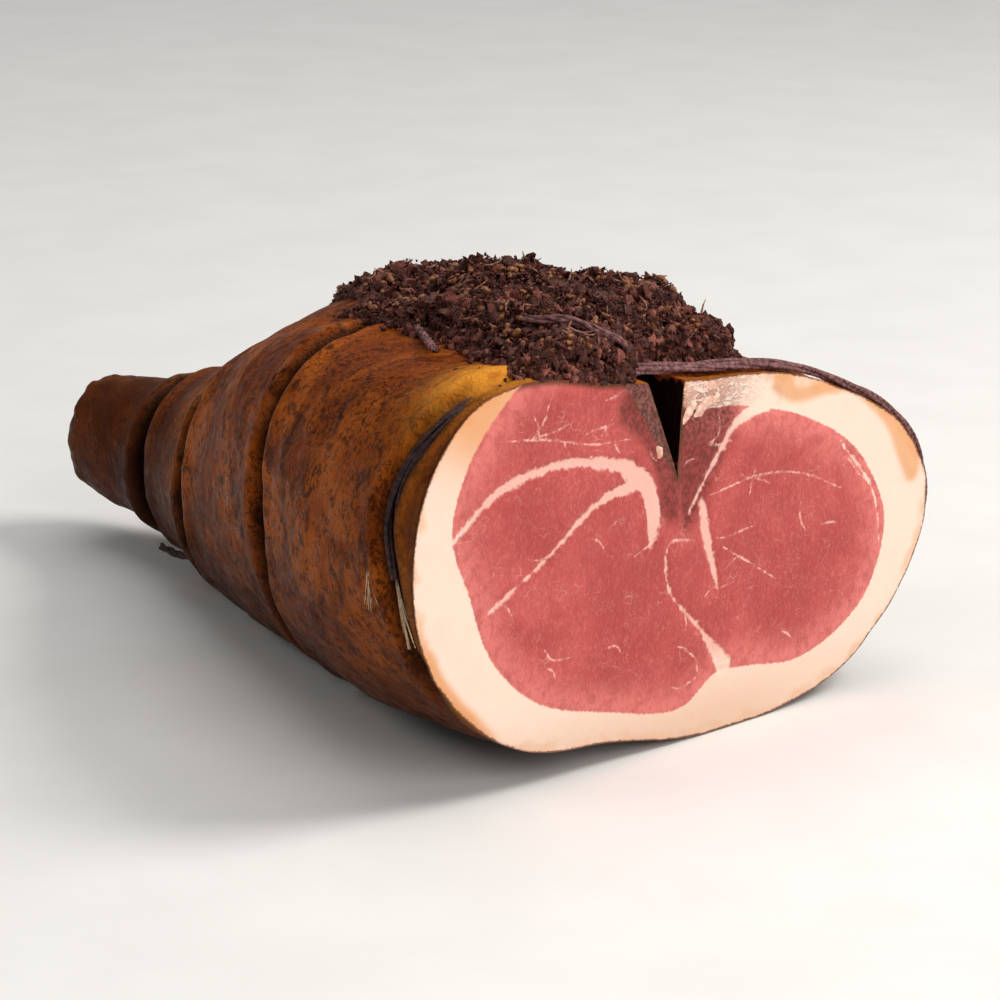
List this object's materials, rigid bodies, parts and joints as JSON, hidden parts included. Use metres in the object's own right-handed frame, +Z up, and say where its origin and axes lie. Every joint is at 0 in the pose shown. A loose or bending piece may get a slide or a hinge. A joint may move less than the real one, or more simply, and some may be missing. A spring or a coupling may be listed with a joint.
{
  "type": "cured ham",
  "caption": "Cured ham cut across its thickest part, tied with cord and capped with grape pomace, lying on its belly with the cut face upright.",
  "frame": {"origin": "under the middle of the whole part, on its resting plane", "axes": "+Z up; +X along the ham from the shank to the cut face, which looks along +X; +Y across the cut face"},
  "size_m": [0.39, 0.277, 0.1705],
  "materials": {
    "ham": "mottled leathery rind, semi-moist cut meat and fat",
    "grape_pomace": "moist crumbly skins, seeds and stalks",
    "brown_cord": "dark stained twisted cord",
    "purple_cord": "wine-stained twisted cord"
  },
  "bodies": {
    "root": {"ham": "ham", "grape_pomace": "grape_pomace", "shank_tie": "brown_cord", "second_tie": "brown_cord", "third_tie": "brown_cord", "front_tie_strand_a": "purple_cord", "front_tie_strand_b": "purple_cord", "lengthwise_cord": "purple_cord", "spare_cord_end": "purple_cord"}
  },
  "joints": []
}
